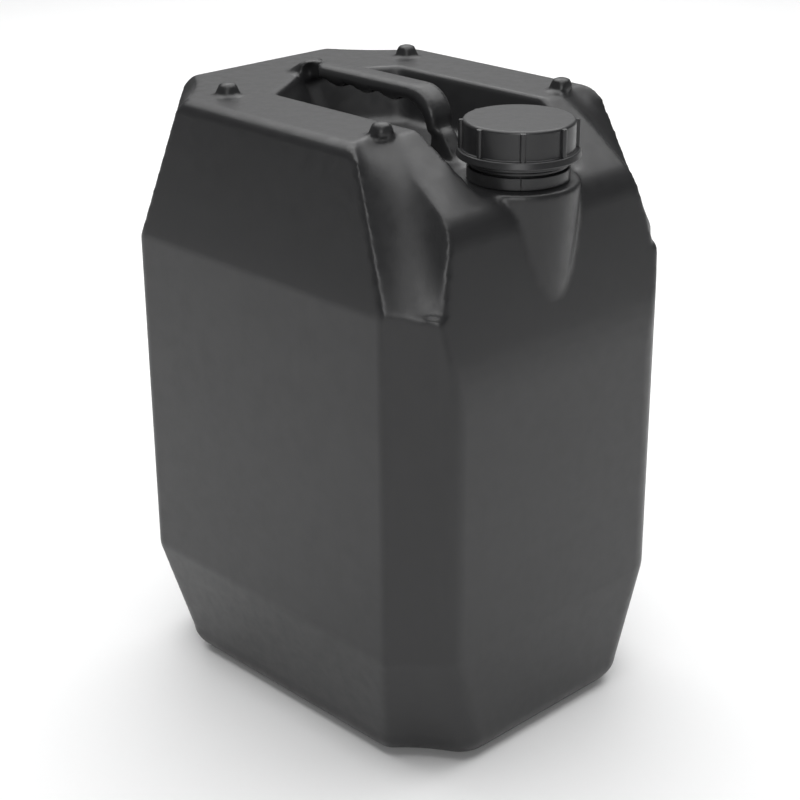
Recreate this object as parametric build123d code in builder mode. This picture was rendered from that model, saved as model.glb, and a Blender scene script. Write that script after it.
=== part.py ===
"""Stackable plastic canister with a built-in carrying handle and a screw cap."""
import os
from math import cos, hypot, radians, sin

from build123d import *

# Body, overall
length = 290.0
width = 244.0
deck_height = 403.5
wall = 2.2

# Foot: rounded bottom edge and the taper up to the lower crease
foot_radius = 17.7
foot_height = 85.0
foot_taper_x = 3.0
foot_taper_y = 14.6
foot_steps = 4
foot_run_x = 42.0
foot_run_y = 32.0
foot_long_radius = 10.0
foot_short_radius = 20.0

# Shoulder and deck, measured down from the deck
shoulder_drop = 92.0
shoulder_run = 15.0
deck_edge_radius = 9.0
back_lean = 7.5
back_edge_radius = 10.0

# Front brow: deck edge, steep bend and the point where the front becomes upright
deck_front_gap = 68.0
deck_front_radius = 7.0
brow_gap = 14.0
brow_drop = 43.5
brow_radius = 32.0
knee_drop = 134.75
knee_radius = 250.0

# Corner flutes of the upright walls
corner_run_x = 30.5
corner_run_y = 26.0
flute_sag = 3.0
long_ridge_radius = 3.0
short_ridge_radius = 20.0

# Deep corner channels between shoulder and deck
front_low_depth = 0.8
back_low_depth = 3.8
channel_depth = 7.0
channel_top_depth = 4.0
channel_end = 8.0
channel_end_shift = 4.5
channel_spread = 1.25
channel_reach = 40.0
front_rim_low = 29.0
front_rim_high = 67.0
front_side_low = 28.5
front_side_brow = 39.0
front_side_high = 46.5
brow_bend = 4.5
back_rim_low = 31.0
back_rim_high = 60.0
back_side_low = 27.5
back_side_high = 62.0

# Recess round the handle
recess_half_width = 55.0
recess_depth = 34.5
recess_draft = 10.0
recess_corner_x = -53.0
recess_root_x = -84.0
recess_root_half = 5.0
recess_corner_ramp = 14.0
recess_root_ramp = 20.0
recess_top_radius = 6.0
recess_low_radius = 14.0
recess_floor_radius = 8.0

# Carrying handle
handle_rise = 10.0
handle_width = 21.0
handle_thickness = 13.0
handle_edge_radius = 5.5
handle_edge_share = 0.45
handle_root_x = -104.0
handle_root_drop = 15.0
handle_start_x = -78.0
handle_leg_x = 37.4
handle_leg_drop = 17.5
handle_bend_radius = 15.0

# Finger grooves under the handle
groove_radius = 20.0
groove_depth = 3.3
groove_pitch = 25.3
groove_count = 4
groove_middle_x = -20.5

# Pinches that close the handle at its root
pinch_x = -70.5
pinch_drop = 8.0
pinch_radius = 8.5
pinch_web = 5.0

# Web from the handle's leg to the neck
web_width = 13.0
web_back_x = 33.5
web_top_x = 47.5
web_top_drop = 15.5
web_low_x = 58.7
web_low_drop = 31.5
web_end_x = 78.0

# Stacking studs and their sockets in the foot
stud_x = 70.4
stud_y = 78.9
stud_side = 13.2
stud_top_side = 9.6
stud_foot_side = 12.0
stud_height = 8.0
stud_bulge = 0.3
stud_corner = 2.5
socket_clearance = 3.0
socket_depth = 8.5

# Pinch-off groove under the foot
seam_groove_half = 7.5
seam_groove_depth = 4.5

# Neck and its round pad
neck_x = 106.6
pad_radius = 38.2
pad_drop = 33.5
pad_edge_radius = 3.0
pad_length = 82.0
pad_low_radius = 34.6
pad_low_shift = 2.0
neck_radius = 28.4
neck_bore_radius = 25.2
bead_reach = 2.0
bead_height = 1.8
bead_level = 8.6

# Thread of neck and cap
thread_pitch = 6.0
thread_turns = 1.75
thread_level = 14.5
thread_depth = 2.0
thread_root = 3.3
thread_crest = 1.5
thread_bite = 0.3
cap_thread_depth = 1.9

# Tear ring under the cap
ring_radius = 31.4
ring_bore_radius = 29.0
ring_height = 7.5
ring_gap = 0.1
ring_split = 0.7
ring_split_angle = -45.0

# Screw cap
cap_radius = 34.2
cap_bore_radius = 31.2
cap_level = 14.0
cap_height = 22.4
cap_top_thickness = 2.6
cap_edge_radius = 1.6
flange_radius = 38.0
flange_draft = 1.0
flange_height = 4.5
lip_radius = 33.5
lip_height = 2.6
rib_count = 8
rib_reach = 2.3
rib_width = 3.4
rib_angle = -44.0
rib_top_gap = 0.8

# Cap seal
seal_thickness = 1.6
seal_gap = 0.05
seal_radius = 30.6
seal_bore_radius = 23.5

# Allowances: how far cutters run past what they cut, and how corners follow the skin inwards
margin = 12.0
cut_overrun = 2.0
touch = 0.01
corner_trim = 0.6
ridge_least = 0.8

# Derived levels and offsets
half_x = length / 2
half_y = width / 2
shoulder_height = deck_height - shoulder_drop
brow_height = deck_height - brow_drop
knee_height = deck_height - knee_drop
deck_front_x = half_x - deck_front_gap
brow_x = half_x - brow_gap
recess_floor = deck_height - recess_depth
handle_top = deck_height + handle_rise
handle_axis = handle_top - handle_thickness / 2
pad_height = deck_height - pad_drop
cap_base = pad_height + cap_level
cap_top = cap_base + cap_height
seal_top = cap_top - cap_top_thickness
neck_top = seal_top - seal_thickness - seal_gap


def outline(level, reach_x, reach_y, run_x, run_y, long_radius, short_radius):
    """Plan outline with four shallow concave corners at one level."""
    chord = hypot(run_x, run_y)
    radius = (chord**2 / 4 + flute_sag**2) / (2 * flute_sag)
    offset_out = radius - flute_sag
    centre_x = reach_x - run_x / 2 + offset_out * run_y / chord
    centre_y = reach_y - run_y / 2 + offset_out * run_x / chord
    with BuildSketch(Plane.XY.offset(level)) as section:
        Rectangle(2 * reach_x, 2 * reach_y)
        with GridLocations(2 * centre_x, 2 * centre_y, 2, 2):
            Circle(radius, mode=Mode.SUBTRACT)
        long_ridges = section.vertices().filter_by(lambda v: abs(abs(v.Y) - reach_y) < touch)
        fillet(long_ridges, long_radius)
        short_ridges = section.vertices().filter_by(lambda v: abs(abs(v.X) - reach_x) < touch)
        fillet(short_ridges, short_radius)
    return section.sketch


def wall_outline(inset):
    """Outline of the upright walls at the lower crease, set in from the outer skin."""
    run_x = corner_run_x - corner_trim * inset
    run_y = corner_run_y - corner_trim * inset
    long_radius = max(long_ridge_radius - inset, ridge_least)
    short_radius = short_ridge_radius - inset
    return outline(foot_height, half_x - inset, half_y - inset, run_x, run_y, long_radius, short_radius)


def foot_outline(level, back, inset):
    """Outline of the foot at one level, set in by its rounding and by the skin."""
    reach_x = half_x - foot_taper_x - inset - back
    reach_y = half_y - foot_taper_y - inset - back
    run_x = foot_run_x - corner_trim * inset
    run_y = foot_run_y - corner_trim * inset
    long_radius = foot_long_radius - inset
    short_radius = foot_short_radius - inset
    return outline(level, reach_x, reach_y, run_x, run_y, long_radius, short_radius)


def foot_form(inset):
    """Tapered foot with its rounded bottom edge, set in from the outer skin."""
    radius = foot_radius - inset
    rounds = []
    for step in range(foot_steps + 1):
        turn = radians(90 * step / foot_steps)
        rounds.append(foot_outline(foot_radius - radius * sin(turn), radius * (1 - cos(turn)), inset))
    with BuildPart() as form:
        loft(sections=[rounds[0], wall_outline(inset)], ruled=True)
        loft(sections=rounds)
    return form.part


def channel_section(level, first, second, depth, shift):
    """Arc face of a channel cutter that passes both rims, or lies inside them by a shift."""
    chord = hypot(second[0] - first[0], second[1] - first[1])
    radius = (chord**2 / 4 + depth**2) / (2 * depth)
    out = Vector(second[1] - first[1], first[0] - second[0]) / chord
    along = Vector(second[0] - first[0], second[1] - first[1]) / chord
    middle = Vector(first[0] + second[0], first[1] + second[1]) / 2
    half = channel_spread * chord / 2
    rise = radius - (radius**2 - half**2) ** 0.5
    bottom = middle - out * (shift + depth)
    start = bottom + out * rise - along * half
    stop = bottom + out * rise + along * half
    with BuildSketch(Plane.XY.offset(level)) as section:
        with BuildLine():
            ThreePointArc(start, bottom, stop)
            Polyline(stop, stop + out * channel_reach, start + out * channel_reach, start)
        make_face()
    return section.sketch


def channel(marks, grow):
    """Corner channel cutter, shallow at its start and rolled off at the deck."""
    faces = []
    for level, first, second, depth, shift in marks:
        faces.append(channel_section(level, first, second, depth, shift + grow))
    with BuildPart() as cutter:
        loft(sections=faces[:-1])
        loft(sections=faces[-2:], ruled=True)
        extrude(faces[-1], amount=margin)
        if grow:
            extrude(faces[0], amount=-grow)
    return cutter.part


def front_x(level):
    """Front face position on the straight pieces of the brow."""
    if level > brow_height:
        return brow_x - (level - brow_height) * (brow_x - deck_front_x) / brow_drop
    return brow_x + (brow_height - level) * brow_gap / (brow_height - knee_height)


def blend(low, high, level):
    """Value between the shoulder and the deck at one level."""
    return low + (high - low) * (level - shoulder_height) / shoulder_drop


def rim_y(level):
    """Edge of the leaning long side at one level."""
    return -half_y + blend(0, shoulder_run, level)


def front_marks():
    """Level, rim points, depth and shift of the front channel sections."""
    places = (
        (shoulder_height, front_side_low, front_low_depth, 0),
        (brow_height, front_side_brow, channel_depth, 0),
        (deck_height - channel_end, front_side_high, channel_depth, 0),
        (deck_height, front_side_high, channel_top_depth, channel_end_shift),
    )
    marks = []
    for level, side_run, depth, shift in places:
        rim = (half_x - blend(front_rim_low, front_rim_high, level), rim_y(level))
        side_x = front_x(level) - (brow_bend if level == brow_height else 0)
        marks.append((level, rim, (side_x, -half_y + side_run), depth, shift))
    return marks


def back_marks():
    """Level, rim points, depth and shift of the back channel sections."""
    places = (
        (shoulder_height, back_low_depth, 0),
        (brow_height, channel_depth, 0),
        (deck_height - channel_end, channel_depth, 0),
        (deck_height, channel_top_depth, channel_end_shift),
    )
    marks = []
    for level, depth, shift in places:
        rim = (-half_x + blend(back_rim_low, back_rim_high, level), rim_y(level))
        side_run = blend(back_side_low, back_side_high, level)
        side = (-half_x + blend(0, back_lean, level), -half_y + side_run)
        marks.append((level, side, rim, depth, shift))
    return marks


def upper_form(inset):
    """Upright walls, shoulder, brow and deck above the foot, set in from the outer skin."""
    with BuildPart() as form:
        extrude(wall_outline(inset), amount=deck_height - foot_height)
        with BuildSketch(Plane.XZ) as side:
            with BuildLine():
                Polyline(
                    (-half_x, foot_height - margin),
                    (-half_x, shoulder_height),
                    (-half_x + back_lean, deck_height),
                    (deck_front_x, deck_height),
                    (brow_x, brow_height),
                    (half_x, knee_height),
                    (half_x, foot_height - margin),
                    close=True,
                )
            make_face()
            bends = (
                ((-half_x + back_lean, deck_height), back_edge_radius),
                ((deck_front_x, deck_height), deck_front_radius),
                ((brow_x, brow_height), brow_radius),
                ((half_x, knee_height), knee_radius),
            )
            for corner, radius in bends:
                fillet(side.vertices().sort_by_distance(corner)[0], radius)
            if inset:
                offset(amount=-inset, kind=Kind.INTERSECTION, mode=Mode.REPLACE)
        extrude(amount=half_y, both=True, mode=Mode.INTERSECT)
        with BuildSketch(Plane.YZ) as end:
            with BuildLine():
                Polyline(
                    (-half_y, foot_height - margin),
                    (-half_y, shoulder_height),
                    (-half_y + shoulder_run, deck_height),
                    (half_y - shoulder_run, deck_height),
                    (half_y, shoulder_height),
                    (half_y, foot_height - margin),
                    close=True,
                )
            make_face()
            fillet(end.vertices().group_by(Axis.Y)[-1], deck_edge_radius)
            if inset:
                offset(amount=-inset, kind=Kind.INTERSECTION, mode=Mode.REPLACE)
        extrude(amount=half_x, both=True, mode=Mode.INTERSECT)
        for cutter in (channel(front_marks(), inset), channel(back_marks(), inset)):
            add(cutter, mode=Mode.SUBTRACT)
            add(mirror(cutter, about=Plane.XZ), mode=Mode.SUBTRACT)
    return form.part


def recess(grow):
    """Recess cutter: drafted sides, ramped rear end, flat floor, open to the front."""
    front = half_x + margin
    places = ((recess_floor - grow, 1.0, recess_low_radius), (deck_height, 0.0, recess_top_radius))
    faces = []
    for level, lift, radius in places:
        side = recess_half_width + grow - recess_draft * lift
        corner = recess_corner_x - grow + recess_corner_ramp * lift
        root = recess_root_x - grow + recess_root_ramp * lift
        nose = recess_root_half + grow
        with BuildSketch(Plane.XY.offset(level)) as section:
            with BuildLine():
                Polyline(
                    (front, -side),
                    (corner, -side),
                    (root, -nose),
                    (root, nose),
                    (corner, side),
                    (front, side),
                    close=True,
                )
            make_face()
            fillet(section.vertices().filter_by(lambda v: v.X < front - cut_overrun), radius)
        faces.append(section.sketch)
    with BuildPart() as cutter:
        loft(sections=faces, ruled=True)
        low_edges = cutter.edges().group_by(Axis.Z)[0]
        fillet(low_edges.filter_by(lambda e: e.center().X < front - cut_overrun), recess_floor_radius)
        extrude(faces[-1], amount=margin)
    return cutter.part


def handle_bar(inset, lift):
    """Handle from its root behind the recess to the foot of its front leg."""
    thickness = handle_thickness - 2 * inset - lift
    edge_radius = min(handle_edge_radius - inset, handle_edge_share * thickness)
    with BuildPart() as bar:
        with BuildLine(Plane.XZ) as spine:
            FilletPolyline(
                (handle_root_x, handle_axis - handle_root_drop),
                (handle_start_x, handle_axis),
                (handle_leg_x, handle_axis),
                (handle_leg_x, deck_height - handle_leg_drop),
                radius=handle_bend_radius,
            )
        start = Plane(origin=spine.line @ 0, x_dir=(0, 1, 0), z_dir=spine.line % 0)
        with BuildSketch(start):
            with Locations((0, -lift / 2)):
                RectangleRounded(handle_width - 2 * inset, thickness, edge_radius)
        sweep()
    return bar.part


def web(inset):
    """Web that runs from the handle's leg forward and down to the neck."""
    with BuildPart() as rib:
        with BuildSketch(Plane.XZ) as side:
            with BuildLine():
                Polyline(
                    (web_back_x, recess_floor - margin),
                    (web_back_x, deck_height - web_top_drop),
                    (web_top_x, deck_height - web_top_drop),
                    (web_low_x, deck_height - web_low_drop),
                    (web_end_x, recess_floor),
                    (web_end_x, recess_floor - margin),
                    close=True,
                )
            make_face()
            if inset:
                offset(amount=-inset, kind=Kind.INTERSECTION, mode=Mode.REPLACE)
        extrude(amount=web_width / 2 - inset, both=True)
    return rib.part


def helix_thread(radius, reach, bottom):
    """Trapezoid thread from the given radius; a negative reach points inwards."""
    with BuildPart() as ridge:
        with BuildLine() as path:
            Helix(thread_pitch, thread_pitch * thread_turns, radius, center=(neck_x, 0, bottom))
        start = Plane(origin=path.line @ 0, x_dir=(1, 0, 0), z_dir=path.line % 0)
        side = 1 if reach > 0 else -1
        with BuildSketch(start):
            with BuildLine():
                Polyline(
                    (-side * thread_bite, -thread_root / 2),
                    (reach, -thread_crest / 2),
                    (reach, thread_crest / 2),
                    (-side * thread_bite, thread_root / 2),
                    close=True,
                )
            make_face()
        sweep(is_frenet=True)
    return ridge.part


def neck_pad(inset):
    """Round pad under the neck that leans back and fades into the front face."""
    with BuildPart() as pad:
        with BuildSketch(Plane.XY.offset(pad_height - pad_length)) as low:
            with Locations((neck_x - pad_low_shift, 0)):
                Circle(pad_low_radius - inset)
        with BuildSketch(Plane.XY.offset(pad_height - inset)) as top:
            with Locations((neck_x, 0)):
                Circle(pad_radius - inset)
        loft(sections=[low.sketch, top.sketch], ruled=True)
        if not inset:
            fillet(pad.edges().group_by(Axis.Z)[-1], pad_edge_radius)
    return pad.part


def seam_groove(grow):
    """Pinch-off groove along the middle of the foot."""
    radius = (seam_groove_half**2 + seam_groove_depth**2) / (2 * seam_groove_depth)
    with BuildPart() as groove:
        with Locations((0, 0, seam_groove_depth - radius)):
            Cylinder(radius + grow, length, rotation=(0, 90, 0))
    return groove.part


def stud_form():
    """Stud with chamfered corners, widest just above its narrower foot."""
    faces = []
    levels = ((0.0, stud_foot_side), (stud_bulge * stud_height, stud_side), (stud_height, stud_top_side))
    for level, side in levels:
        with BuildSketch(Plane.XY.offset(level)) as section:
            Rectangle(side, side)
            chamfer(section.vertices(), stud_corner)
        faces.append(section.sketch)
    with BuildPart() as stud:
        loft(sections=faces, ruled=True)
    return stud.part


def socket_form(grow):
    """Square socket in the foot that takes a stud with clearance all round."""
    side = stud_side + 2 * socket_clearance
    with BuildPart() as socket:
        with BuildSketch(Plane.XY.offset(-margin)):
            RectangleRounded(side + 2 * grow, side + 2 * grow, stud_corner)
        extrude(amount=margin + socket_depth + grow)
    return socket.part


with BuildPart() as cavity:
    add(foot_form(wall))
    add(upper_form(wall))
    add(recess(wall), mode=Mode.SUBTRACT)
    add(neck_pad(wall))
    add(web(wall))
    add(handle_bar(wall, groove_depth))
    with Locations((pinch_x, 0, handle_top - pinch_drop)):
        Cylinder(pinch_radius + wall, width, rotation=(90, 0, 0), mode=Mode.SUBTRACT)
    with GridLocations(2 * stud_x, 2 * stud_y, 2, 2):
        add(socket_form(wall), mode=Mode.SUBTRACT)
    add(seam_groove(wall), mode=Mode.SUBTRACT)

with BuildPart() as canister_body:
    add(foot_form(0.0))
    add(upper_form(0.0))
    add(recess(0.0), mode=Mode.SUBTRACT)
    add(neck_pad(0.0))
    add(web(0.0))
    add(handle_bar(0.0, 0.0))
    groove_first = groove_middle_x - groove_pitch * (groove_count - 1) / 2
    groove_axis = handle_top - handle_thickness + groove_depth - groove_radius
    grooves = [(groove_first + groove_pitch * step, 0, groove_axis) for step in range(groove_count)]
    with Locations(grooves):
        Cylinder(groove_radius, handle_width + cut_overrun, rotation=(90, 0, 0), mode=Mode.SUBTRACT)
    pinch_length = (handle_width - pinch_web) / 2 + cut_overrun
    pinch_y = (pinch_web + pinch_length) / 2
    with Locations((pinch_x, -pinch_y, handle_top - pinch_drop), (pinch_x, pinch_y, handle_top - pinch_drop)):
        Cylinder(pinch_radius, pinch_length, rotation=(90, 0, 0), mode=Mode.SUBTRACT)
    with Locations((0, 0, deck_height)):
        with GridLocations(2 * stud_x, 2 * stud_y, 2, 2):
            add(stud_form())
    with GridLocations(2 * stud_x, 2 * stud_y, 2, 2):
        add(socket_form(0.0), mode=Mode.SUBTRACT)
    add(seam_groove(0.0), mode=Mode.SUBTRACT)
    add(cavity.part, mode=Mode.SUBTRACT)
    with BuildSketch(Plane.XY.offset(pad_height - wall)):
        with Locations((neck_x, 0)):
            Circle(neck_radius)
    extrude(amount=neck_top - pad_height + wall)
    with BuildSketch(Plane.XY.offset(pad_height + bead_level)):
        with Locations((neck_x, 0)):
            Circle(neck_radius + bead_reach)
    extrude(amount=bead_height)
    with BuildSketch(Plane.XY.offset(pad_height - margin)):
        with Locations((neck_x, 0)):
            Circle(neck_bore_radius)
    extrude(amount=neck_top - pad_height + 2 * margin, mode=Mode.SUBTRACT)
    add(helix_thread(neck_radius, thread_depth, pad_height + thread_level))

with BuildPart() as screw_cap:
    with BuildSketch(Plane.XZ):
        with BuildLine():
            Polyline(
                (neck_x, cap_top),
                (neck_x + cap_radius, cap_top),
                (neck_x + cap_radius, cap_base + flange_height),
                (neck_x + flange_radius - flange_draft, cap_base + flange_height),
                (neck_x + flange_radius, cap_base),
                (neck_x + lip_radius, cap_base),
                (neck_x + lip_radius, cap_base - lip_height),
                (neck_x + cap_bore_radius, cap_base - lip_height),
                (neck_x + cap_bore_radius, seal_top),
                (neck_x, seal_top),
                close=True,
            )
        make_face()
    revolve(axis=Axis((neck_x, 0, 0), (0, 0, 1)))
    fillet(screw_cap.edges().group_by(Axis.Z)[-1], cap_edge_radius)
    with BuildSketch(Plane.XY.offset(cap_base + flange_height / 2)):
        with Locations((neck_x, 0)):
            with PolarLocations(cap_radius, rib_count, start_angle=rib_angle):
                SlotOverall(2 * rib_reach, rib_width)
    extrude(amount=cap_height - flange_height / 2 - rib_top_gap)
    add(helix_thread(cap_bore_radius, -cap_thread_depth, pad_height + thread_level + thread_pitch / 2))

with BuildPart() as tear_ring:
    with BuildSketch(Plane.XY.offset(pad_height + ring_gap)):
        with Locations((neck_x, 0)):
            Circle(ring_radius)
            Circle(ring_bore_radius, mode=Mode.SUBTRACT)
            with PolarLocations(ring_radius, 1, start_angle=ring_split_angle):
                split_length = 2 * (ring_radius - ring_bore_radius) + cut_overrun
                Rectangle(split_length, ring_split, mode=Mode.SUBTRACT)
    extrude(amount=ring_height)

with BuildPart() as cap_seal:
    with BuildSketch(Plane.XY.offset(seal_top - seal_thickness)):
        with Locations((neck_x, 0)):
            Circle(seal_radius)
            Circle(seal_bore_radius, mode=Mode.SUBTRACT)
    extrude(amount=seal_thickness)

canister_body.part.label = "canister_body"
screw_cap.part.label = "screw_cap"
tear_ring.part.label = "tear_ring"
cap_seal.part.label = "cap_seal"

os.makedirs("parts", exist_ok=True)
export_step(canister_body.part, "parts/canister_body.step")
export_step(screw_cap.part, "parts/screw_cap.step")
export_step(tear_ring.part, "parts/tear_ring.step")
export_step(cap_seal.part, "parts/cap_seal.step")
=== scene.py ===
"""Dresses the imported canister: moulded shell, threaded neck, ribbed cap, tear ring, seal and stage."""
import math

import bmesh
import bpy
import numpy as np
from mathutils import Matrix, Vector


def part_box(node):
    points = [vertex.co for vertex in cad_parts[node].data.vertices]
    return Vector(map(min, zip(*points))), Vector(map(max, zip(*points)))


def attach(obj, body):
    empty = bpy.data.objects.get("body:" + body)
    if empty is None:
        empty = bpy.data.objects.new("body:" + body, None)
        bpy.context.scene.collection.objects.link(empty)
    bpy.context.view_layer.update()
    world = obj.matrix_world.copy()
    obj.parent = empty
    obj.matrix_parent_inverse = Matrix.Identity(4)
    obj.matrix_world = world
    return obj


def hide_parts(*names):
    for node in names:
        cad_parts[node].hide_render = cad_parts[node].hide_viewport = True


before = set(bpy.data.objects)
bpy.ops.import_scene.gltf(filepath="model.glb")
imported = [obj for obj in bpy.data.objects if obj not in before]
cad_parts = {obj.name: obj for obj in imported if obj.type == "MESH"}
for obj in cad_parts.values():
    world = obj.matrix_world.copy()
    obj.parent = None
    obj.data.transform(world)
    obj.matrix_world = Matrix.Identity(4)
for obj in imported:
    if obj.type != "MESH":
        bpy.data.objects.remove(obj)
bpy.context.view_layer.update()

bl_info = {
    "name": "Plastic canister dresser",
    "version": (1, 0, 0),
    "blender": (4, 5, 0),
    "location": "3D View > Sidebar > Canister",
    "description": "Builds the moulded shell, neck, cap, ring, seal and stage round the packed canister",
    "category": "Object",
}

MM = 0.001
CAP_LOW, CAP_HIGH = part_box("screw_cap")
RING_LOW, RING_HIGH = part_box("tear_ring")
SEAL_LOW, SEAL_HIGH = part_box("cap_seal")
RING_CLEARANCE = 0.1 * MM
SEAL_CLEARANCE = 0.05 * MM
NECK_X = (CAP_LOW.x + CAP_HIGH.x) / 2
PAD_Z = RING_LOW.z - RING_CLEARANCE
NECK_TOP = SEAL_LOW.z - SEAL_CLEARANCE

# Vertices closer than this are one
BODY_MERGE = 0.002 * MM
THREAD_MERGE = 0.001 * MM
# Sides of the round pieces
CYLINDER_SIDES, NECK_SIDES, CAP_SIDES, RING_SIDES, SEAL_SIDES = 128, 128, 160, 128, 96

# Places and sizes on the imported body, in millimetres, as far down as the soft boxes.
# Recess round the handle: its outlines at floor and deck are half width, corner x, root x and corner radius
DECK_Z = 403.5
RECESS_FLOOR_Z = 369.0
RECESS_FRONT = 60.0
RECESS_ROOT_HALF = 5.0
RECESS_FLOOR = (45.0, -39.0, -64.0, 14.0)
RECESS_RIM = (55.0, -53.0, -84.0, 6.0)
RECESS_FLOOR_BEVEL = 8.0
# Wall that closes the recess under the handle: its block, and its faces measured out from the recess
PATCH_BLOCK = ((-84.0, -12.5, 360.0), (33.0, 12.5, 392.0))
PATCH_FAR_FACE = 2.6
PATCH_NEAR_FACE = -0.04
# Last finger groove, and two blocks inside the handle's leg
GROOVE_X, GROOVE_Z, GROOVE_RADIUS = 17.45, 383.8, 20.1
GROOVE_LENGTH = 30.0
LEG_BLOCK_LOW = ((34.0, -6.2, 368.0), (40.0, 6.2, 387.0))
LEG_BLOCK_HIGH = ((33.6, -8.9, 386.2), (42.2, 8.9, 396.0))
# Places that keep more of their edges when the shell is softened
STUD_Y, STUD_REACH, STUD_FOOT = 78.9, 9.0, 0.3
HANDLE_REAR, HANDLE_FRONT, HANDLE_HALF, HANDLE_FOOT_Z = -66.0, 46.0, 12.0, 396.0
NECK_REACH, NECK_FOOT = 31.0, 1.5
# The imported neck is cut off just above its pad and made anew
NECK_CUT_RADIUS, NECK_CUT_LIFT, NECK_CUT_HEIGHT = 33.5, 0.05, 60.0
BORE_CUT_DEPTH, BORE_CUT_HEIGHT, BORE_TOLERANCE = 8.0, 20.0, 0.3

# Soft boxes: name, place, aim and size in metres, and power in watts
SOFT_BOXES = (
    ("top_softbox", (-0.6, 0.6, 2.3), (-0.6, 0.6, 0.0), (3.8, 3.8), 118),
    ("back_softbox", (-2.0, 2.1, 1.5), (0.0, 0.0, 0.2), (2.6, 1.6), 5),
    ("front_softbox", (1.9, -1.9, 1.2), (0.3, -0.3, 0.1), (1.5, 1.2), 20),
)


def linear(hex_colour):
    """Linear RGBA from an sRGB hex value."""
    values = [int(hex_colour[i : i + 2], 16) / 255 for i in (1, 3, 5)]
    return [v / 12.92 if v <= 0.04045 else ((v + 0.055) / 1.055) ** 2.4 for v in values] + [1.0]


def add_node(tree, kind, values=None, links=None, **settings):
    """Adds one node with its settings, its input values and the links that feed it."""
    node = tree.nodes.new(kind)
    for key, value in settings.items():
        setattr(node, key, value)
    for key, value in (values or {}).items():
        node.inputs[key].default_value = value
    for key, source in (links or {}).items():
        tree.links.new(source, node.inputs[key])
    return node


def new_material(name):
    """Empty node material and its tree."""
    material = bpy.data.materials.new(name)
    material.use_nodes = True
    material.node_tree.nodes.clear()
    return material, material.node_tree


def metre_places(tree):
    """Output of a node that gives the places on a piece in metres."""
    return add_node(tree, "ShaderNodeTexCoord").outputs["Object"]


def moulded_polyethylene(name, finish):
    """High-density polyethylene from a blasted steel mould."""
    # Satin with wide soft highlights, a fine grain, faint flow marks and patches rubbed smoother.
    # The real grain is about 0.1 mm wide and is drawn coarser, so that it shows.
    flow_mm, rub_mm = 45, 9
    darkest, lightest = 0.90, 1.14
    smoother, rougher = 0.04, 0.05
    material, tree = new_material(name)
    metres = metre_places(tree)
    grain = add_node(
        tree, "ShaderNodeTexNoise", {"Scale": 1 / (finish.grain * MM), "Detail": 2.0}, {"Vector": metres}
    )
    flow = add_node(
        tree,
        "ShaderNodeTexNoise",
        {"Scale": 1 / (flow_mm * MM), "Detail": 3.0, "Roughness": 0.55},
        {"Vector": metres},
    )
    rub = add_node(
        tree,
        "ShaderNodeTexNoise",
        {"Scale": 1 / (rub_mm * MM), "Detail": 5.0, "Roughness": 0.62},
        {"Vector": metres},
    )
    base = linear(finish.colour)
    light = [min(c * lightest, 1.0) for c in base[:3]] + [1.0]
    dark = [c * darkest for c in base[:3]] + [1.0]
    tone = add_node(
        tree,
        "ShaderNodeMix",
        {"A": dark, "B": light},
        {"Factor": flow.outputs["Fac"]},
        data_type="RGBA",
    )
    gloss = add_node(
        tree,
        "ShaderNodeMapRange",
        {
            "From Min": 0.35,
            "From Max": 0.65,
            "To Min": finish.roughness - smoother,
            "To Max": finish.roughness + rougher,
        },
        {"Value": rub.outputs["Fac"]},
    )
    bump = add_node(
        tree,
        "ShaderNodeBump",
        {"Strength": 0.55, "Distance": finish.grain_depth * MM},
        {"Height": grain.outputs["Fac"]},
    )
    shader = add_node(
        tree,
        "ShaderNodeBsdfPrincipled",
        {"IOR": 1.5},
        {
            "Base Color": tone.outputs["Result"],
            "Roughness": gloss.outputs["Result"],
            "Normal": bump.outputs["Normal"],
        },
    )
    add_node(tree, "ShaderNodeOutputMaterial", links={"Surface": shader.outputs["BSDF"]})
    return material


def foamed_polyethylene(name, hex_colour):
    """Foamed polyethylene sheet, die cut."""
    # Off-white and matt, with small closed cells that are drawn coarser than the real ones to show.
    cell_mm, cell_depth_mm = 0.8, 0.12
    material, tree = new_material(name)
    cells = add_node(
        tree, "ShaderNodeTexVoronoi", {"Scale": 1 / (cell_mm * MM)}, {"Vector": metre_places(tree)}
    )
    bump = add_node(
        tree,
        "ShaderNodeBump",
        {"Strength": 0.5, "Distance": cell_depth_mm * MM},
        {"Height": cells.outputs["Distance"]},
    )
    shader = add_node(
        tree,
        "ShaderNodeBsdfPrincipled",
        {"Base Color": linear(hex_colour), "Roughness": 0.75, "IOR": 1.5},
        {"Normal": bump.outputs["Normal"]},
    )
    add_node(tree, "ShaderNodeOutputMaterial", links={"Surface": shader.outputs["BSDF"]})
    return material


def studio_paper(name, hex_colour):
    """Seamless studio paper, uncoated."""
    # Pale and matt, with a faint fibre mottle that is drawn coarser than real fibres to show.
    fibre_mm, fibre_shade = 3, 0.985
    material, tree = new_material(name)
    fibre = add_node(
        tree,
        "ShaderNodeTexNoise",
        {"Scale": 1 / (fibre_mm * MM), "Detail": 3.0},
        {"Vector": metre_places(tree)},
    )
    base = linear(hex_colour)
    soft = [c * fibre_shade for c in base[:3]] + [1.0]
    tone = add_node(
        tree, "ShaderNodeMix", {"A": soft, "B": base}, {"Factor": fibre.outputs["Fac"]}, data_type="RGBA"
    )
    shader = add_node(
        tree,
        "ShaderNodeBsdfPrincipled",
        {"Roughness": 0.9, "IOR": 1.4},
        {"Base Color": tone.outputs["Result"]},
    )
    add_node(tree, "ShaderNodeOutputMaterial", links={"Surface": shader.outputs["BSDF"]})
    return material


def link_mesh(name, mesh, material):
    """Scene object for a finished mesh, with its material."""
    piece = bpy.data.objects.new(name, mesh)
    bpy.context.scene.collection.objects.link(piece)
    mesh.materials.clear()
    mesh.materials.append(material)
    return piece


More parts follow.
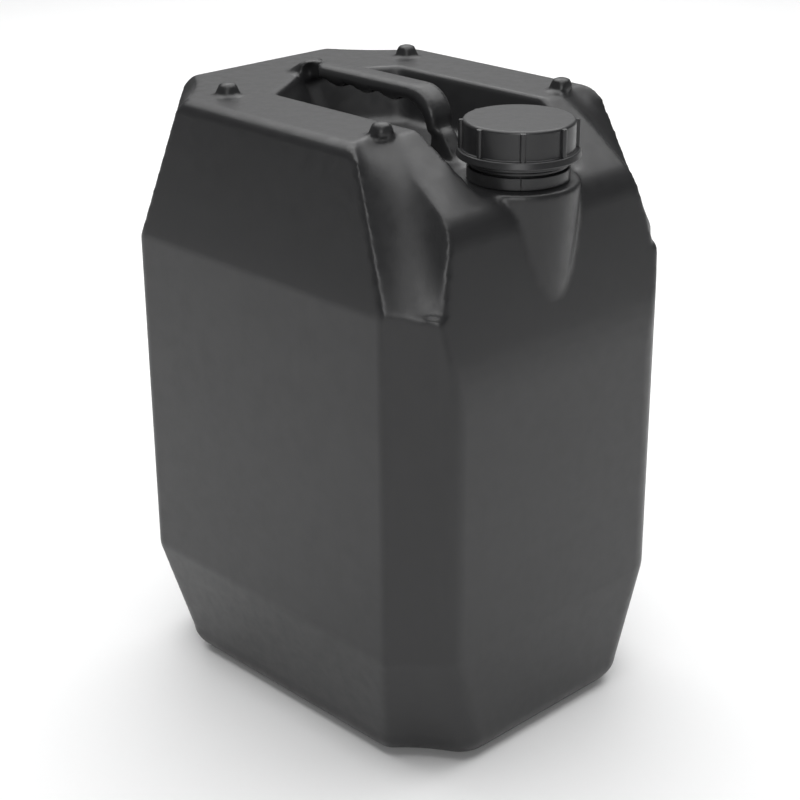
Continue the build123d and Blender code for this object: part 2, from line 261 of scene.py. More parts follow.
def bake(piece):
    """Replaces a piece's modifiers by their result."""
    bpy.context.view_layer.update()
    graph = bpy.context.evaluated_depsgraph_get()
    result = bpy.data.meshes.new_from_object(piece.evaluated_get(graph), depsgraph=graph)
    old = piece.data
    piece.modifiers.clear()
    piece.data = result
    bpy.data.meshes.remove(old)


def rounded(outline, steps=5):
    """Polyline of a closed outline of (x, y, radius) corners, with an arc wherever there is a radius."""
    points = []
    for index, (x, y, radius) in enumerate(outline):
        here = Vector((x, y))
        if radius <= 0:
            points.append(tuple(here))
            continue
        back = (Vector(outline[index - 1][:2]) - here).normalized()
        ahead = (Vector(outline[(index + 1) % len(outline)][:2]) - here).normalized()
        half = back.angle(ahead) / 2
        reach = radius / math.tan(half)
        centre = here + (back + ahead).normalized() * radius / math.sin(half)
        start = here + back * reach - centre
        stop = here + ahead * reach - centre
        turn = start.angle_signed(stop)
        for step in range(steps + 1):
            arm = Vector(start)
            arm.rotate(Matrix.Rotation(-turn * step / steps, 2))
            points.append(tuple(centre + arm))
    return points


def lathe(name, profile, sides, material, sweep=2 * math.pi, start=0.0):
    """Solid of revolution about the neck's axis from a closed profile of (radius, height) points."""
    on_axis = 1e-6
    shape = bmesh.new()
    closed = sweep == 2 * math.pi
    columns = sides if closed else sides + 1
    grid = []
    for column in range(columns):
        angle = start + sweep * column / sides
        ring = []
        for radius, height in profile:
            if radius < on_axis:
                ring.append(None)
                continue
            place = (NECK_X + radius * math.cos(angle), radius * math.sin(angle), height)
            ring.append(shape.verts.new(place))
        grid.append(ring)
    poles = {
        index: shape.verts.new((NECK_X, 0, height))
        for index, (radius, height) in enumerate(profile)
        if radius < on_axis
    }
    for column in range(sides):
        near = grid[column]
        far = grid[(column + 1) % columns]
        for index in range(len(profile)):
            after = (index + 1) % len(profile)
            ring = [near[index] or poles[index], far[index] or poles[index]]
            ring += [far[after] or poles[after], near[after] or poles[after]]
            unique = list(dict.fromkeys(ring))
            if len(unique) > 2:
                shape.faces.new(unique)
    if not closed:
        shape.faces.new(grid[0])
        shape.faces.new(list(reversed(grid[-1])))
    bmesh.ops.recalc_face_normals(shape, faces=shape.faces)
    mesh = bpy.data.meshes.new(name)
    shape.to_mesh(mesh)
    shape.free()
    mesh.shade_smooth()
    return link_mesh(name, mesh, material)


def keep_edges_crisp(piece, angle_deg=40):
    """Shades a piece smoothly except where its faces meet at more than an angle, with flats kept flat."""
    piece.data.set_sharp_from_angle(angle=math.radians(angle_deg))
    weigh_normals(piece)


def weigh_normals(piece):
    """Turns a piece's normals towards its large faces."""
    weigh = piece.modifiers.new("weigh", "WEIGHTED_NORMAL")
    weigh.mode = "FACE_AREA"
    weigh.weight = 80
    weigh.keep_sharp = True
    bake(piece)


def length_prop(name, description, millimetres):
    """Length property with its default in millimetres."""
    return bpy.props.FloatProperty(
        name=name, description=description, default=millimetres * MM, unit="LENGTH", precision=4
    )


def angle_prop(name, description, degrees):
    """Angle property with its default in degrees."""
    return bpy.props.FloatProperty(
        name=name, description=description, default=math.radians(degrees), subtype="ANGLE"
    )


def number_prop(name, description, default):
    """Plain number property."""
    return bpy.props.FloatProperty(name=name, description=description, default=default)


def colour_prop(name, description, default):
    """Colour property, an sRGB hex value."""
    return bpy.props.StringProperty(name=name, description=description, default=default)


class ShellSettings(bpy.types.PropertyGroup):
    """Sizes and finish of the moulded shell."""

    voxel: length_prop("Mesh step", "Grid step of the skin's mesh", 1.8)
    quick_factor: number_prop("Quick factor", "How much coarser the mesh step is in a quick look", 1.5)
    soft_rounds: bpy.props.IntProperty(
        name="Edge softening", description="Rounds of softening that the mould's edges get", default=9
    )
    flatness: angle_prop("Flatness", "Angle below which small faces are merged", 0.8)
    colour: colour_prop("Colour", "sRGB colour of the shell", "#1f1f20")
    grain: number_prop("Grain", "Grain width of the mould's skin in mm", 0.9)
    grain_depth: number_prop("Grain depth", "Depth of the grain in mm", 0.05)
    roughness: number_prop("Roughness", "Roughness of the skin", 0.36)


class NeckSettings(bpy.types.PropertyGroup):
    """Sizes of the neck and its thread."""

    radius: length_prop("Radius", "Outer radius", 28.4)
    bore: length_prop("Bore", "Bore radius", 25.2)
    sink: length_prop("Sink", "How far the neck's foot stands in the pad", 1.4)
    flare: length_prop("Flare", "Radius of the flare at the foot", 1.2)
    flare_height: length_prop("Flare height", "Height of the flare above the pad", 1.3)
    bead_reach: length_prop("Bead", "Reach of the bead", 2.0)
    bead_level: length_prop("Bead level", "Bead above the pad", 8.6)
    bead_height: length_prop("Bead height", "Bead height", 1.8)
    bead_edge: length_prop("Bead edge", "Rounding of the bead's edges", 0.5)
    bead_root: length_prop("Bead root", "Rounding at the bead's roots", 0.4)
    rim_edge: length_prop("Rim edge", "Rounding of the rim", 0.7)
    pitch: length_prop("Pitch", "Thread pitch", 6.0)
    turns: number_prop("Turns", "Thread turns", 1.75)
    thread_level: length_prop("Thread level", "Thread start above the pad", 14.5)
    thread_reach: length_prop("Thread reach", "How far the ridge stands out of the neck", 1.9)
    thread_sink: length_prop("Thread sink", "How far the ridge's root stands in the neck", 0.3)
    thread_root: length_prop("Thread root", "Width of the ridge at its root", 3.3)
    thread_crest: length_prop("Thread crest", "Width of the ridge at its crest", 1.5)


class CapSettings(bpy.types.PropertyGroup):
    """Sizes and finish of the screw cap."""

    radius: length_prop("Radius", "Skirt radius", 34.2)
    bore: length_prop("Bore", "Inner radius", 31.2)
    flange: length_prop("Flange", "Flange radius at its foot", 38.0)
    flange_taper: length_prop("Flange taper", "How much narrower the flange is at its top", 1.0)
    flange_height: length_prop("Flange height", "Height of the flange", 4.5)
    lip: length_prop("Lip", "Lip radius", 33.5)
    lip_height: length_prop("Lip height", "Height of the lip below the flange", 2.6)
    top: length_prop("Top", "Top thickness", 2.6)
    top_edge: length_prop("Top edge", "Rounding of the top's edge", 2.0)
    flange_edge: length_prop("Flange edge", "Rounding of the flange's upper edge", 1.0)
    flange_foot: length_prop("Flange foot", "Rounding of the flange's lower edge", 0.7)
    lip_root: length_prop("Lip root", "Rounding where the lip leaves the flange", 0.4)
    lip_edge: length_prop("Lip edge", "Rounding of the lip's edges", 0.5)
    inner_root: length_prop("Inner root", "Rounding above the flange and under the top", 0.8)
    rib_count: bpy.props.IntProperty(name="Ribs", description="Number of grip ribs", default=8)
    rib_width: length_prop("Rib width", "Width of a rib", 3.4)
    rib_reach: length_prop("Rib reach", "Reach of a rib out of the skirt", 2.3)
    rib_root: length_prop("Rib root", "How far a rib stands in the skirt", 1.5)
    rib_sink: length_prop("Rib sink", "How far a rib stands in the flange", 2.0)
    rib_drop: length_prop("Rib drop", "How far a rib ends below the top", 0.8)
    rib_edge: length_prop("Rib edge", "Rounding of a rib's outer edges", 1.35)
    rib_angle: angle_prop("Rib angle", "Angle of the first rib", -44)
    thread_reach: length_prop("Thread reach", "How far the ridge stands into the cap", 1.7)
    thread_sink: length_prop("Thread sink", "How far the ridge's root stands in the skirt", 0.1)
    colour: colour_prop("Colour", "sRGB colour of cap and ring", "#262627")
    grain: number_prop("Grain", "Grain width of the cap's skin in mm", 0.7)
    grain_depth: number_prop("Grain depth", "Depth of the grain in mm", 0.03)
    roughness: number_prop("Roughness", "Roughness of cap and ring", 0.32)


class RingSettings(bpy.types.PropertyGroup):
    """Sizes of the tear ring."""

    radius: length_prop("Radius", "Outer radius", 31.4)
    bore: length_prop("Bore", "Bore radius", 29.0)
    outer_edge: length_prop("Outer edge", "Rounding of the outer edges", 0.5)
    inner_edge: length_prop("Inner edge", "Rounding of the inner edges", 0.3)
    split: length_prop("Split", "Width of the split", 0.7)
    split_angle: angle_prop("Split angle", "Angle of the split", -45)


class SealSettings(bpy.types.PropertyGroup):
    """Sizes of the cap seal."""

    radius: length_prop("Radius", "Outer radius", 30.6)
    bore: length_prop("Bore", "Inner radius", 23.5)
    edge: length_prop("Edge", "Rounding of the edges", 0.3)
    colour: colour_prop("Colour", "sRGB colour of the foam", "#e4e3de")


class StageSettings(bpy.types.PropertyGroup):
    """Camera and floor."""

    lens: number_prop("Lens", "Focal length on a 36 mm sensor", 81.83)
    azimuth: angle_prop("Azimuth", "Direction the camera stands in", 46.0)
    elevation: angle_prop("Elevation", "Camera pitch", 23.04)
    roll: angle_prop("Roll", "Camera roll", -0.33)
    place: bpy.props.FloatVectorProperty(
        name="Camera place", description="Camera position", default=(0.8199, -0.7890, 0.6755), subtype="XYZ"
    )
    paper: colour_prop("Paper", "sRGB colour of the floor", "#f4f4f4")
    paper_size: length_prop("Paper size", "Side of the square floor", 12000)
    paper_drop: length_prop("Paper drop", "Gap between floor and canister", 0.2)
    glow: colour_prop("Glow", "sRGB colour of the room", "#f6f7f8")
    glow_strength: number_prop("Glow strength", "Light from the room", 0.18)


def places_of(piece):
    """Vertex places of a piece in millimetres."""
    places = np.zeros(len(piece.data.vertices) * 3)
    piece.data.vertices.foreach_get("co", places)
    return places.reshape(-1, 3) / MM


def soften(piece, rounds, weights):
    """Smooths a piece for a number of rounds, with a weight for each vertex."""
    group = piece.vertex_groups.new(name="soften")
    for level in np.unique(weights):
        group.add(np.flatnonzero(weights == level).tolist(), float(level), "REPLACE")
    smooth = piece.modifiers.new("soften", "SMOOTH")
    smooth.factor = 0.5
    smooth.iterations = rounds
    smooth.vertex_group = group.name
    bake(piece)
    piece.vertex_groups.clear()


def edge_weights(places):
    """Softening weights: full on the shell, less on the studs and the handle, none at the neck."""
    on_studs, on_handle, at_neck = 0.35, 0.45, 0.0
    x, y, z = places.T
    weights = np.ones(len(places))
    weights[(z > DECK_Z + STUD_FOOT) & (np.abs(np.abs(y) - STUD_Y) < STUD_REACH)] = on_studs
    above = (np.abs(y) < HANDLE_HALF) & (z > HANDLE_FOOT_Z)
    weights[above & (x < HANDLE_FRONT) & (x > HANDLE_REAR)] = on_handle
    weights[(np.hypot(x - NECK_X / MM, y) < NECK_REACH) & (z > PAD_Z / MM - NECK_FOOT)] = at_neck
    return weights


def tool_piece(shape):
    """Scene object for a cutting or filling tool."""
    mesh = bpy.data.meshes.new("tool")
    shape.to_mesh(mesh)
    shape.free()
    piece = bpy.data.objects.new("tool", mesh)
    bpy.context.scene.collection.objects.link(piece)
    return piece


def cylinder(radius, length, place):
    """Closed cylinder at a placing matrix."""
    shape = bmesh.new()
    bmesh.ops.create_cone(
        shape,
        cap_ends=True,
        segments=CYLINDER_SIDES,
        radius1=radius,
        radius2=radius,
        depth=length,
        matrix=place,
    )
    return tool_piece(shape)


def neck_cylinder(radius, foot, height):
    """Closed cylinder on the neck's axis."""
    return cylinder(radius, height, Matrix.Translation((NECK_X, 0, foot + height / 2)))


def block(low, high):
    """Closed block between two corners given in millimetres."""
    low, high = Vector(low) * MM, Vector(high) * MM
    shape = bmesh.new()
    bmesh.ops.create_cube(shape, size=1, matrix=Matrix.LocRotScale((low + high) / 2, None, high - low))
    return tool_piece(shape)


def combine(piece, tool, operation="DIFFERENCE"):
    """Cuts a closed tool out of a closed piece, or adds it, and removes the tool."""
    change = piece.modifiers.new("change", "BOOLEAN")
    change.operation = operation
    change.solver = "EXACT"
    change.object = tool
    bake(piece)
    bpy.data.objects.remove(tool)


def recess_form(spare):
    """Solid that fills the handle's recess, grown outwards all round by spare millimetres."""
    rings = []
    for level, sizes in ((RECESS_FLOOR_Z - spare, RECESS_FLOOR), (DECK_Z, RECESS_RIM)):
        side, corner, root, radius = sizes
        half = [
            (RECESS_FRONT, side + spare, 0),
            (corner - spare, side + spare, radius),
            (root - spare, RECESS_ROOT_HALF + spare, radius),
        ]
        outline = [(x, -y, radius) for x, y, radius in half] + list(reversed(half))
        rings.append([(x * MM, y * MM, level * MM) for x, y in rounded(outline, 8)])
    shape = bmesh.new()
    low, high = ([shape.verts.new(point) for point in ring] for ring in rings)
    floor = shape.faces.new(low)
    shape.faces.new(high)
    for index in range(len(low)):
        after = (index + 1) % len(low)
        shape.faces.new((low[index], low[after], high[after], high[index]))
    behind_front = (RECESS_FRONT - 1) * MM
    edges = [e for e in floor.edges if min(v.co.x for v in e.verts) < behind_front]
    bmesh.ops.bevel(
        shape, geom=edges, offset=RECESS_FLOOR_BEVEL * MM, segments=6, affect="EDGES", profile=0.5
    )
    bmesh.ops.recalc_face_normals(shape, faces=shape.faces)
    return tool_piece(shape)


def close_walls(body):
    """Closes the recess's wall under the handle and the leg's wall, where finger grooves cut into them."""
    patch = block(*PATCH_BLOCK)
    combine(patch, recess_form(PATCH_FAR_FACE), "INTERSECT")
    combine(patch, recess_form(PATCH_NEAR_FACE))
    combine(body, patch, "UNION")
    across = Matrix.Rotation(math.radians(90), 4, "X")
    place = Matrix.Translation((GROOVE_X * MM, 0, GROOVE_Z * MM)) @ across
    for low, high in (LEG_BLOCK_LOW, LEG_BLOCK_HIGH):
        filler = block(low, high)
        combine(filler, cylinder(GROOVE_RADIUS * MM, GROOVE_LENGTH * MM, place))
        combine(body, filler, "UNION")


def packed_body(skin):
    """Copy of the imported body, merged, closed and cut off above the pad."""
    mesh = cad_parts["canister_body"].data.copy()
    shape = bmesh.new()
    shape.from_mesh(mesh)
    bmesh.ops.remove_doubles(shape, verts=shape.verts, dist=BODY_MERGE)
    shape.to_mesh(mesh)
    shape.free()
    body = link_mesh("walls", mesh, skin)
    close_walls(body)
    lift = NECK_CUT_LIFT * MM
    combine(body, neck_cylinder(NECK_CUT_RADIUS * MM, PAD_Z + lift, NECK_CUT_HEIGHT * MM))
    return body


def close_bore(shape, bore):
    """Takes the bore's wall out of a body and closes both ends, which parts the skin from the hollow."""
    tolerance = BORE_TOLERANCE * MM
    walls = []
    for face in shape.faces:
        reach = [math.hypot(v.co.x - NECK_X, v.co.y) for v in face.verts]
        if max(reach) < bore + tolerance and min(reach) > bore - tolerance:
            walls.append(face)
    bmesh.ops.delete(shape, geom=walls, context="FACES")
    bmesh.ops.holes_fill(shape, edges=[e for e in shape.edges if e.is_boundary], sides=0)


def hangs_together(start):
    """Every vertex that a chain of edges joins to the first one."""
    found = {start}
    front = [start]
    while front:
        vert = front.pop()
        for edge in vert.link_edges:
            other = edge.other_vert(vert)
            if other not in found:
                found.add(other)
                front.append(other)
    return found


def split_walls(skin):
    """Closed outer skin without the neck, and closed hollow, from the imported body."""
    body = packed_body(skin)
    shape = bmesh.new()
    shape.from_mesh(body.data)
    close_bore(shape, bpy.context.scene.canister_neck.bore)
    outer = hangs_together(min(shape.verts, key=lambda v: v.co.z))
    sides = []
    for inside in (False, True):
        side = shape.copy()
        side.verts.ensure_lookup_table()
        drop = [side.verts[v.index] for v in shape.verts if (v in outer) == inside]
        bmesh.ops.delete(side, geom=drop, context="VERTS")
        bmesh.ops.recalc_face_normals(side, faces=side.faces)
        mesh = bpy.data.meshes.new("wall_side")
        side.to_mesh(mesh)
        side.free()
        sides.append(mesh)
    shape.free()
    bpy.data.objects.remove(body)
    return sides


class CANISTER_OT_shell(bpy.types.Operator):
    """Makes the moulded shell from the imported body, with the softened edges of a blow-moulded part"""

    bl_idname = "canister.shell"
    bl_label = "Moulded shell"

    def execute(self, context):
        settings = context.scene.canister_shell
        skin = moulded_polyethylene("blow_moulded_hdpe", settings)
        skin_side, hollow_side = split_walls(skin)
        shell = link_mesh("canister_shell", skin_side, skin)
        grid = shell.modifiers.new("grid", "REMESH")
        grid.mode = "VOXEL"
        grid.voxel_size = settings.voxel * 1.0
        bake(shell)
        soften(shell, settings.soft_rounds, edge_weights(places_of(shell)))
        flat = shell.modifiers.new("flat", "DECIMATE")
        flat.decimate_type = "DISSOLVE"
        flat.angle_limit = settings.flatness
        split = shell.modifiers.new("split", "TRIANGULATE")
        split.min_vertices = 4
        bake(shell)
        shell.data.shade_smooth()
        weigh_normals(shell)
        hollow = link_mesh("hollow", hollow_side, skin)
        foot = PAD_Z - BORE_CUT_DEPTH * MM
        bore = neck_cylinder(context.scene.canister_neck.bore, foot, BORE_CUT_HEIGHT * MM)
        for tool in (hollow, bore):
            combine(shell, tool)
        shell.data.materials.clear()
        shell.data.materials.append(skin)
        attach(shell, "canister")
        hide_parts("canister_body")
        return {"FINISHED"}


def thread_tree():
    """Node tree that sweeps a trapezoid section along a helix."""
    tree = bpy.data.node_groups.new("thread_ridge", "GeometryNodeTree")
    face = tree.interface
    for name, kind in (
        ("Radius", "NodeSocketFloat"),
        ("Pitch", "NodeSocketFloat"),
        ("Turns", "NodeSocketFloat"),
        ("Depth", "NodeSocketFloat"),
        ("Root", "NodeSocketFloat"),
        ("Crest", "NodeSocketFloat"),
        ("Level", "NodeSocketFloat"),
        ("Neck X", "NodeSocketFloat"),
        ("Material", "NodeSocketMaterial"),
    ):
        face.new_socket(name, in_out="INPUT", socket_type=kind)
    face.new_socket("Geometry", in_out="OUTPUT", socket_type="NodeSocketGeometry")
    entry = add_node(tree, "NodeGroupInput")
    rise = add_node(
        tree,
        "ShaderNodeMath",
        links={0: entry.outputs["Pitch"], 1: entry.outputs["Turns"]},
        operation="MULTIPLY",
    )
    path = add_node(
        tree,
        "GeometryNodeCurveSpiral",
        {"Resolution": 96},
        {
            "Rotations": entry.outputs["Turns"],
            "Start Radius": entry.outputs["Radius"],
            "End Radius": entry.outputs["Radius"],
            "Height": rise.outputs[0],
        },
    )
    upright = add_node(
        tree, "GeometryNodeSetCurveNormal", links={"Curve": path.outputs["Curve"]}, mode="Z_UP"
    )
    section = add_node(
        tree,
        "GeometryNodeCurvePrimitiveQuadrilateral",
        {"Offset": 0.0},
        {
            "Bottom Width": entry.outputs["Root"],
            "Top Width": entry.outputs["Crest"],
            "Height": entry.outputs["Depth"],
        },
        mode="TRAPEZOID",
    )
    turned = add_node(
        tree,
        "GeometryNodeTransform",
        {"Rotation": (0, 0, math.radians(-90))},
        {"Geometry": section.outputs["Curve"]},
    )
    ridge = add_node(
        tree,
        "GeometryNodeCurveToMesh",
        {"Fill Caps": True},
        {"Curve": upright.outputs["Curve"], "Profile Curve": turned.outputs["Geometry"]},
    )
    shift = add_node(
        tree, "ShaderNodeCombineXYZ", links={"X": entry.outputs["Neck X"], "Z": entry.outputs["Level"]}
    )
    placed = add_node(
        tree,
        "GeometryNodeTransform",
        links={"Geometry": ridge.outputs["Mesh"], "Translation": shift.outputs[0]},
    )
    real = add_node(tree, "GeometryNodeRealizeInstances", links={"Geometry": placed.outputs["Geometry"]})
    finish = add_node(
        tree,
        "GeometryNodeSetMaterial",
        links={"Geometry": real.outputs["Geometry"], "Material": entry.outputs["Material"]},
    )
    add_node(tree, "NodeGroupOutput", links={0: finish.outputs["Geometry"]})
    return tree


def polar_tree():
    """Node tree that sets copies of one piece round the neck's axis."""
    tree = bpy.data.node_groups.new("polar_copies", "GeometryNodeTree")
    face = tree.interface
    for name, kind in (
        ("Piece", "NodeSocketObject"),
        ("Count", "NodeSocketInt"),
        ("Radius", "NodeSocketFloat"),
        ("Start Angle", "NodeSocketFloat"),
        ("Neck X", "NodeSocketFloat"),
        ("Level", "NodeSocketFloat"),
        ("Material", "NodeSocketMaterial"),
    ):
        face.new_socket(name, in_out="INPUT", socket_type=kind)
    face.new_socket("Geometry", in_out="OUTPUT", socket_type="NodeSocketGeometry")
    entry = add_node(tree, "NodeGroupInput")
    piece = add_node(tree, "GeometryNodeObjectInfo", links={"Object": entry.outputs["Piece"]})
    spot = add_node(tree, "GeometryNodePoints", links={"Count": entry.outputs["Count"]})
    index = add_node(tree, "GeometryNodeInputIndex")
    step = add_node(
        tree, "ShaderNodeMath", {0: 2 * math.pi}, {1: entry.outputs["Count"]}, operation="DIVIDE"
    )
    angle = add_node(
        tree,
        "ShaderNodeMath",
        links={0: index.outputs[0], 1: step.outputs[0], 2: entry.outputs["Start Angle"]},
        operation="MULTIPLY_ADD",
    )
    turn = add_node(tree, "ShaderNodeCombineXYZ", links={"Z": angle.outputs[0]})
    arm = add_node(tree, "ShaderNodeCombineXYZ", links={"X": entry.outputs["Radius"]})
    swung = add_node(
        tree,
        "ShaderNodeVectorRotate",
        links={"Vector": arm.outputs[0], "Rotation": turn.outputs[0]},
        rotation_type="EULER_XYZ",
    )
    base = add_node(
        tree, "ShaderNodeCombineXYZ", links={"X": entry.outputs["Neck X"], "Z": entry.outputs["Level"]}
    )
    place = add_node(
        tree,
        "ShaderNodeVectorMath",
        links={0: swung.outputs[0], 1: base.outputs[0]},
        operation="ADD",
    )
    set_out = add_node(
        tree,
        "GeometryNodeSetPosition",
        links={"Geometry": spot.outputs[0], "Position": place.outputs[0]},
    )
    copies = add_node(
        tree,
        "GeometryNodeInstanceOnPoints",
        links={
            "Points": set_out.outputs[0],
            "Instance": piece.outputs["Geometry"],
            "Rotation": turn.outputs[0],
        },
    )
    real = add_node(tree, "GeometryNodeRealizeInstances", links={"Geometry": copies.outputs["Instances"]})
    finish = add_node(
        tree,
        "GeometryNodeSetMaterial",
        links={"Geometry": real.outputs["Geometry"], "Material": entry.outputs["Material"]},
    )
    add_node(tree, "NodeGroupOutput", links={0: finish.outputs["Geometry"]})
    return tree


def grow(name, tree, values, material):
    """Piece made by a node tree, baked to a plain mesh."""
    piece = link_mesh(name, bpy.data.meshes.new(name), material)
    growth = piece.modifiers.new("growth", "NODES")
    growth.node_group = tree
    inputs = [item for item in tree.interface.items_tree if item.in_out == "INPUT"]
    sockets = {item.name: item.identifier for item in inputs}
    for key, value in values.items():
        growth[sockets[key]] = value
    growth[sockets["Material"]] = material
    bake(piece)
    piece.data.materials.clear()
    piece.data.materials.append(material)
    return piece


def join(kept, added):
    """Adds one piece's mesh to another's."""
    shape = bmesh.new()
    shape.from_mesh(kept.data)
    shape.from_mesh(added.data)
    shape.to_mesh(kept.data)
    shape.free()
    bpy.data.objects.remove(added)


def thread_ridge(name, tree, wall, side, sizes, level, material):
    """Thread ridge on a round wall: it stands outwards with side 1, and inwards with side -1."""
    neck = bpy.context.scene.canister_neck
    depth = sizes.thread_reach + sizes.thread_sink
    values = {
        "Radius": wall + side * (depth / 2 - sizes.thread_sink),
        "Pitch": neck.pitch,
        "Turns": neck.turns,
        "Depth": side * depth,
        "Root": neck.thread_root,
        "Crest": neck.thread_crest,
        "Level": level,
        "Neck X": NECK_X,
    }
    ridge = grow(name, tree, values, material)
    right_way_out(ridge)
    return ridge


def right_way_out(piece):
    """Turns a closed piece's faces outwards."""
    shape = bmesh.new()
    shape.from_mesh(piece.data)
    bmesh.ops.remove_doubles(shape, verts=shape.verts, dist=THREAD_MERGE)
    bmesh.ops.recalc_face_normals(shape, faces=shape.faces)
    shape.to_mesh(piece.data)
    shape.free()


class CANISTER_OT_neck(bpy.types.Operator):
    """Makes the threaded neck with its bead"""

    bl_idname = "canister.neck"
    bl_label = "Threaded neck"

    def execute(self, context):
        settings = context.scene.canister_neck
        skin = bpy.data.materials["blow_moulded_hdpe"]
        foot = PAD_Z - settings.sink
        bead = PAD_Z + settings.bead_level
        bead_top = bead + settings.bead_height
        reach = settings.radius + settings.bead_reach
        outline = [
            (settings.bore, foot, 0),
            (settings.radius + settings.flare, foot, 0),
            (settings.radius, PAD_Z + settings.flare_height, settings.flare),
            (settings.radius, bead, settings.bead_root),
            (reach, bead, settings.bead_edge),
            (reach, bead_top, settings.bead_edge),
            (settings.radius, bead_top, settings.bead_root),
            (settings.radius, NECK_TOP, settings.rim_edge),
            (settings.bore, NECK_TOP, settings.rim_edge),
        ]
        neck = lathe("neck_tube", rounded(outline), NECK_SIDES, skin)
        level = PAD_Z + settings.thread_level
        thread = thread_ridge("neck_thread", thread_tree(), settings.radius, 1, settings, level, skin)
        join(neck, thread)
        keep_edges_crisp(neck)
        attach(neck, "canister")
        return {"FINISHED"}


def cap_rib(settings, height, material):
    """One grip rib at the origin, with its outer edges rounded and its root towards -X."""
    depth = settings.rib_reach + settings.rib_root
    place = Matrix.Translation((settings.rib_reach - depth / 2, 0, height / 2))
    shape = bmesh.new()
    bmesh.ops.create_cube(shape, size=1)
    bmesh.ops.transform(
        shape, matrix=place @ Matrix.Diagonal((depth, settings.rib_width, height, 1)), verts=shape.verts
    )
    outer = [e for e in shape.edges if sum(v.co.x > 0 for v in e.verts) == 2]
    bmesh.ops.bevel(shape, geom=outer, offset=settings.rib_edge, segments=5, affect="EDGES", profile=0.5)
    mesh = bpy.data.meshes.new("rib")
    shape.to_mesh(mesh)
    shape.free()
    mesh.shade_smooth()
    return link_mesh("rib_master", mesh, material)


class CANISTER_OT_cap(bpy.types.Operator):
    """Makes the screw cap with its grip ribs and inside thread"""

    bl_idname = "canister.cap"
    bl_label = "Screw cap"

    def execute(self, context):
        settings = context.scene.canister_cap
        skin = moulded_polyethylene("injection_moulded_hdpe", settings)
        top = CAP_HIGH.z
        lip_foot = CAP_LOW.z
        base = lip_foot + settings.lip_height
        shelf = base + settings.flange_height
        ceiling = top - settings.top
        outline = [
            (0, top, 0),
            (settings.radius, top, settings.top_edge),
            (settings.radius, shelf, settings.inner_root),
            (settings.flange - settings.flange_taper, shelf, settings.flange_edge),
            (settings.flange, base, settings.flange_foot),
            (settings.lip, base, settings.lip_root),
            (settings.lip, lip_foot, settings.lip_edge),
            (settings.bore, lip_foot, settings.lip_edge),
            (settings.bore, ceiling, settings.inner_root),
            (0, ceiling, 0),
        ]
        cap = lathe("cap_shell", rounded(outline), CAP_SIDES, skin)
        rib = cap_rib(settings, top - shelf - settings.rib_drop + settings.rib_sink, skin)
        ribs = grow(
            "cap_ribs",
            polar_tree(),
            {
                "Piece": rib,
                "Count": settings.rib_count,
                "Radius": settings.radius,
                "Start Angle": settings.rib_angle,
                "Neck X": NECK_X,
                "Level": shelf - settings.rib_sink,
            },
            skin,
        )
        bpy.data.objects.remove(rib)
        join(cap, ribs)
        neck = context.scene.canister_neck
        tree = bpy.data.node_groups["thread_ridge"]
        level = PAD_Z + neck.thread_level + neck.pitch / 2
        join(cap, thread_ridge("cap_thread", tree, settings.bore, -1, settings, level, skin))
        keep_edges_crisp(cap)
        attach(cap, "cap")
        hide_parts("screw_cap")
        return {"FINISHED"}


class CANISTER_OT_ring(bpy.types.Operator):
    """Makes the split tear ring that stays on the neck"""

    bl_idname = "canister.ring"
    bl_label = "Tear ring"

    def execute(self, context):
        settings = context.scene.canister_ring
        skin = bpy.data.materials["injection_moulded_hdpe"]
        outline = [
            (settings.bore, RING_LOW.z, settings.inner_edge),
            (settings.radius, RING_LOW.z, settings.outer_edge),
            (settings.radius, RING_HIGH.z, settings.outer_edge),
            (settings.bore, RING_HIGH.z, settings.inner_edge),
        ]
        gap = settings.split / settings.radius
        start = settings.split_angle + gap / 2
        sweep = 2 * math.pi - gap
        ring = lathe("tear_ring_band", rounded(outline, 3), RING_SIDES, skin, sweep, start)
        keep_edges_crisp(ring)
        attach(ring, "canister")
        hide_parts("tear_ring")
        return {"FINISHED"}


class CANISTER_OT_seal(bpy.types.Operator):
    """Makes the foam seal that lies on the neck's rim"""

    bl_idname = "canister.seal"
    bl_label = "Cap seal"

    def execute(self, context):
        settings = context.scene.canister_seal
        foam = foamed_polyethylene("foamed_polyethylene", settings.colour)
        outline = [
            (settings.bore, SEAL_LOW.z, settings.edge),
            (settings.radius, SEAL_LOW.z, settings.edge),
            (settings.radius, SEAL_HIGH.z, settings.edge),
            (settings.bore, SEAL_HIGH.z, settings.edge),
        ]
        seal = lathe("seal_ring", rounded(outline, 3), SEAL_SIDES, foam)
        keep_edges_crisp(seal)
        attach(seal, "seal")
        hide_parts("cap_seal")
        return {"FINISHED"}


def soft_box(name, place, aim, size, power):
    """White soft box that points at a place."""
    data = bpy.data.lights.new(name, "AREA")
    data.shape = "RECTANGLE"
    data.size, data.size_y = size
    data.energy = power
    light = bpy.data.objects.new(name, data)
    bpy.context.scene.collection.objects.link(light)
    light.location = place
    light.rotation_euler = (Vector(aim) - Vector(place)).to_track_quat("-Z", "Y").to_euler()


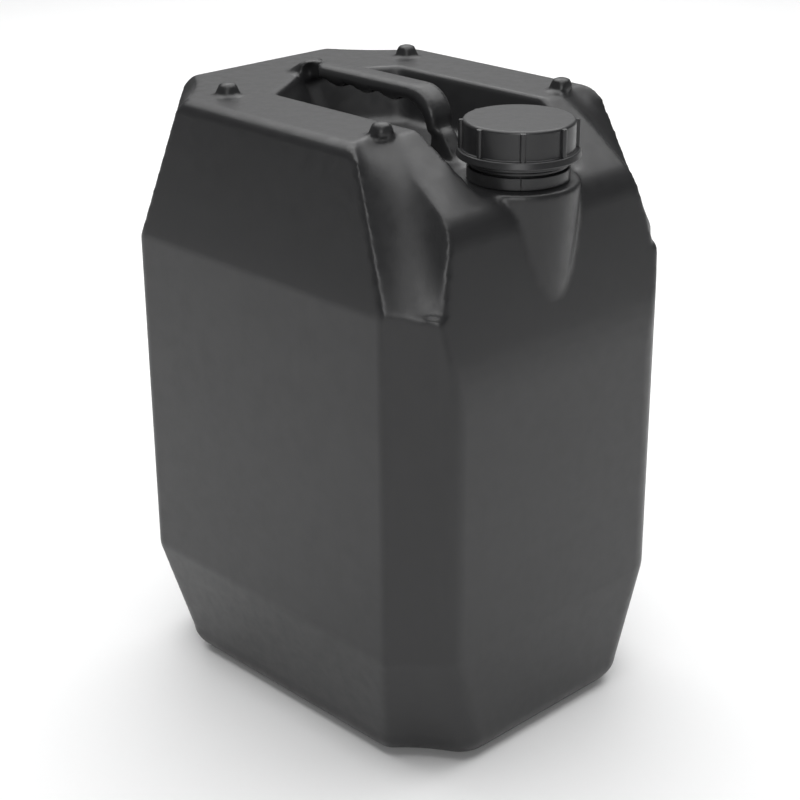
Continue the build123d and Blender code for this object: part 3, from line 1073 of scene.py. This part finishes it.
class CANISTER_OT_stage(bpy.types.Operator):
    """Sets the camera, the pale floor and the studio lights"""

    bl_idname = "canister.stage"
    bl_label = "Stage"

    def execute(self, context):
        settings = context.scene.canister_stage
        bpy.ops.mesh.primitive_plane_add(size=settings.paper_size, location=(0, 0, -settings.paper_drop))
        floor = context.object
        floor.name = "studio_floor"
        floor.data.materials.append(studio_paper("studio_paper", settings.paper))
        data = bpy.data.cameras.new("camera")
        data.sensor_width = 36
        data.lens = settings.lens
        data.clip_start, data.clip_end = 0.05, 50
        camera = bpy.data.objects.new("camera", data)
        context.scene.collection.objects.link(camera)
        turn, rise = settings.azimuth, settings.elevation
        back = Vector((math.sin(turn) * math.cos(rise), -math.cos(turn) * math.cos(rise), math.sin(rise)))
        aim = (-back).to_track_quat("-Z", "Y")
        camera.rotation_mode = "QUATERNION"
        camera.rotation_quaternion = aim @ Matrix.Rotation(settings.roll, 4, "Z").to_quaternion()
        camera.location = settings.place
        context.scene.camera = camera
        world = bpy.data.worlds.new("studio")
        world.use_nodes = True
        tree = world.node_tree
        tree.nodes.clear()
        glow = {"Color": linear(settings.glow), "Strength": settings.glow_strength}
        room = add_node(tree, "ShaderNodeBackground", glow)
        add_node(tree, "ShaderNodeOutputWorld", links={"Surface": room.outputs[0]})
        context.scene.world = world
        context.scene.view_settings.view_transform = "Standard"
        for values in SOFT_BOXES:
            soft_box(*values)
        return {"FINISHED"}


class CANISTER_PT_panel(bpy.types.Panel):
    """Lists the canister's pieces"""

    bl_label = "Canister"
    bl_idname = "CANISTER_PT_panel"
    bl_space_type = "VIEW_3D"
    bl_region_type = "UI"
    bl_category = "Canister"

    def draw(self, context):
        for name, operator in MAKERS:
            box = self.layout.box()
            box.operator(operator.bl_idname)
            settings = getattr(context.scene, "canister_" + name)
            for key in type(settings).__annotations__:
                box.prop(settings, key)


MAKERS = (
    ("stage", CANISTER_OT_stage),
    ("shell", CANISTER_OT_shell),
    ("neck", CANISTER_OT_neck),
    ("cap", CANISTER_OT_cap),
    ("ring", CANISTER_OT_ring),
    ("seal", CANISTER_OT_seal),
)
SETTINGS = {
    "stage": StageSettings,
    "shell": ShellSettings,
    "neck": NeckSettings,
    "cap": CapSettings,
    "ring": RingSettings,
    "seal": SealSettings,
}


def register():
    """Registers the settings, operators and panel."""
    for name, group in SETTINGS.items():
        bpy.utils.register_class(group)
        setattr(bpy.types.Scene, "canister_" + name, bpy.props.PointerProperty(type=group))
    for _, operator in MAKERS:
        bpy.utils.register_class(operator)
    bpy.utils.register_class(CANISTER_PT_panel)


def unregister():
    """Removes the panel, operators and settings."""
    bpy.utils.unregister_class(CANISTER_PT_panel)
    for _, operator in reversed(MAKERS):
        bpy.utils.unregister_class(operator)
    for name, group in SETTINGS.items():
        delattr(bpy.types.Scene, "canister_" + name)
        bpy.utils.unregister_class(group)


def main():
    """Makes every piece."""
    register()
    for _, operator in MAKERS:
        group, action = operator.bl_idname.split(".")
        getattr(getattr(bpy.ops, group), action)()


if __name__ == "__main__":
    main()
